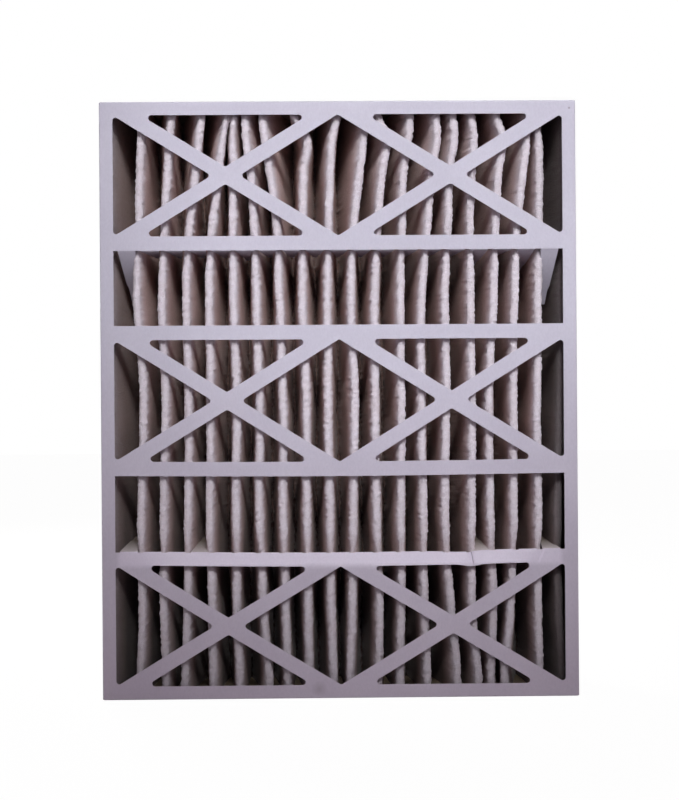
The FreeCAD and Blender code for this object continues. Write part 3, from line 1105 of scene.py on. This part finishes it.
def knock(points):
    """Moves the lattice and its tongues the way handling left them."""
    x, y, z = points.T.copy()
    depth = y - front_low.y
    near_face = depth < FACE_LAYER
    free = (np.abs(x) < LATTICE_X + 1 * MM) & (z > RIM) & (z < front_high.z - RIM)
    span = np.clip(1 - (x / LATTICE_X) ** 2, 0, 1) ** SAG_ROUNDNESS * free
    from_bar = np.maximum(BAR_BOTTOM - z, z - BAR_TOP)
    in_bar = np.clip(1 - from_bar / BAR_BLEND, 0, 1) * free
    up_bar = np.clip((z - BAR_BOTTOM) / (BAR_TOP - BAR_BOTTOM), 0, 1)
    points[:, 2] -= np.interp(z, SAG_AT, SAG) * span
    kink = (0.4 + 1.7 * (1 - up_bar)) * MM * hill(x - CREASE_X, KINK_REACH)
    hollow = HOLLOW * up_bar * hill(x - HOLLOW_X, HOLLOW_REACH)
    narrowed = (0.4 - 1.7 * up_bar) * MM
    points[:, 2] += (narrowed - kink - hollow) * in_bar * near_face
    crease_x = CREASE_X + (BAR_TOP - z) * CREASE_SLANT
    dip = CREASE_DEPTH * (0.6 + 0.4 * up_bar) * np.exp(-np.abs(x - crease_x) / CREASE_WIDTH)
    streak_x = SOFT_FOLD_X + (BAR_TOP - z) * STREAK_SLANT
    bulge = SOFT_FOLD * hill(x - streak_x - SOFT_FOLD_REACH, SOFT_FOLD_REACH)
    lean_back = BAR_LEAN_BACK * up_bar * np.clip(span * LEAN_SPREAD, 0, 1)
    reach = np.clip(1 - depth / TONGUE_REACH, 0, 1)
    points[:, 1] += (dip + bulge + lean_back) * in_bar * reach
    inner = np.clip((front_high.x - WAVE_MARGIN - np.abs(x)) / WAVE_FADE, 0, 1)
    points[:, 1] += FACE_WAVE * face_wave(x, z) * inner * near_face
    return points


print("the lowest bar leans back", round(BAR_LEAN_BACK / MM, 1), "mm")

# %% [markdown]
# A knock can only move vertices, and the flat face of the solid has none between its
# corners. So a copy of its mesh is merged and then cut by planes: a coarse grid over the
# face, a finer one along the lowest bar, and the finest beside the crease.

# %% Front tray
BOARD = 0.7 * MM
FACE_SLACK = 0.2 * MM
FACE_CUT_STEP = 25.0 * MM
BAR_CUT_STEP = 9.0 * MM
BAR_CUT_BELOW = 9.0 * MM
BAR_CUT_ABOVE = 4.0 * MM
CREASE_CUT_STEP = 1.0 * MM
CREASE_CUTS = (-5.0 * MM, 5.5 * MM)
MERGE_GAP = 0.01 * MM
BOARD_SMOOTH = math.radians(25)


def face_cut(piece, place, direction, chosen):
    """Bisects the faces for which chosen(centre) holds."""
    for polygon in piece.data.polygons:
        polygon.select = chosen(polygon.center)
    bpy.ops.object.mode_set(mode="EDIT")
    bpy.ops.mesh.bisect(plane_co=place, plane_no=direction)
    bpy.ops.mesh.select_all(action="DESELECT")
    bpy.ops.object.mode_set(mode="OBJECT")


def front_tray():
    """A copy of the solid tray, cut into finer faces and knocked."""
    solid = frame["nodes"]["front_frame"]
    tray = solid.copy()
    tray.data = solid.data.copy()
    tray.name = "front_tray"
    bpy.context.scene.collection.objects.link(tray)
    tray.parent = None
    for key in list(tray.keys()):
        del tray[key]
    pick(tray)
    bpy.ops.mesh.customdata_custom_splitnormals_clear()
    bpy.ops.object.mode_set(mode="EDIT")
    bpy.ops.mesh.select_all(action="SELECT")
    bpy.ops.mesh.remove_doubles(threshold=MERGE_GAP)
    bpy.ops.mesh.select_all(action="DESELECT")
    bpy.ops.object.mode_set(mode="OBJECT")

    def in_face(centre):
        return centre.y < front_low.y + BOARD + FACE_SLACK

    def in_bar(centre):
        high_enough = centre.z > BAR_BOTTOM - BAR_CUT_BELOW
        return in_face(centre) and high_enough and centre.z < BAR_TOP + BAR_CUT_ABOVE

    for place in np.arange(front_low.x + FACE_CUT_STEP, front_high.x, FACE_CUT_STEP):
        face_cut(tray, (place, 0, 0), (1, 0, 0), in_face)
    for place in np.arange(front_low.z + FACE_CUT_STEP, front_high.z, FACE_CUT_STEP):
        face_cut(tray, (0, 0, place), (0, 0, 1), in_face)
    for share in (0.25, 0.5, 0.75):
        place = BAR_BOTTOM + share * (BAR_TOP - BAR_BOTTOM)
        face_cut(tray, (0, 0, place), (0, 0, 1), in_face)
    for place in np.arange(-LATTICE_X + BAR_CUT_STEP, LATTICE_X, BAR_CUT_STEP):
        face_cut(tray, (place, 0, 0), (1, 0, 0), in_bar)
    for place in np.arange(*CREASE_CUTS, CREASE_CUT_STEP):
        face_cut(tray, (CREASE_X + place, 0, BAR_TOP), (1, 0, CREASE_SLANT), in_bar)
    write_points(tray, knock(read_points(tray)))
    return tray


tray = front_tray()
pick(tray)
bpy.ops.object.shade_smooth_by_angle(angle=BOARD_SMOOTH)
print("front tray", len(tray.data.polygons), "faces")

# %% [markdown]
# The cut edges of the lattice show the board's bare grey core, so they get their own
# finish. They are found by their place in the face and by a normal that lies in it. The
# upper faces of the tongues are found by a normal that points up, behind the face.

# %% Finishes of the trays and seals
EDGE_LAYER = 4.0 * MM
OUTER_MARGIN = 3.0 * MM
COATED, BARE, SHADED_TONGUE = range(3)


def dress_board(piece):
    """Gives each face of a tray its finish."""
    mesh = piece.data
    mesh.materials.clear()
    for finish in (board_material, edge_material, tongue_shade_material):
        mesh.materials.append(finish)
    for polygon in mesh.polygons:
        x, y, z = polygon.center
        in_face = y < front_low.y + BOARD + EDGE_LAYER
        between_sides = abs(x) < front_high.x - OUTER_MARGIN
        inside = between_sides and OUTER_MARGIN < z < front_high.z - OUTER_MARGIN
        polygon.material_index = COATED
        if inside and in_face and abs(polygon.normal.y) < 0.3:
            polygon.material_index = BARE
        # Faces that point up behind the face get the tongue finish with its painted shade.
        if inside and not in_face and polygon.normal.z > 0.7:
            polygon.material_index = SHADED_TONGUE


dress_board(tray)
frame["nodes"]["rear_frame"].material_slots[0].material = board_material
for name in ("end_seal_top", "end_seal_bottom", "side_seal_left", "side_seal_right"):
    frame["nodes"][name].material_slots[0].material = adhesive_material
print("faces with cut edges", sum(p.material_index == BARE for p in tray.data.polygons))

# %% [markdown]
# Nothing in a filter moves, so every piece rides on the root. The knocked tray stands in
# for the solid front tray, and the four parts of the sheet for the solid pleats. The rear
# tray and the adhesive are the solids themselves.

# %% Join the pieces to the frame
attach(tray, "root")
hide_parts("front_frame")
for strip in media_pieces:
    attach(strip, "root")
    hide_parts("media_pack")
print("joined", 1 + len(media_pieces), "pieces")
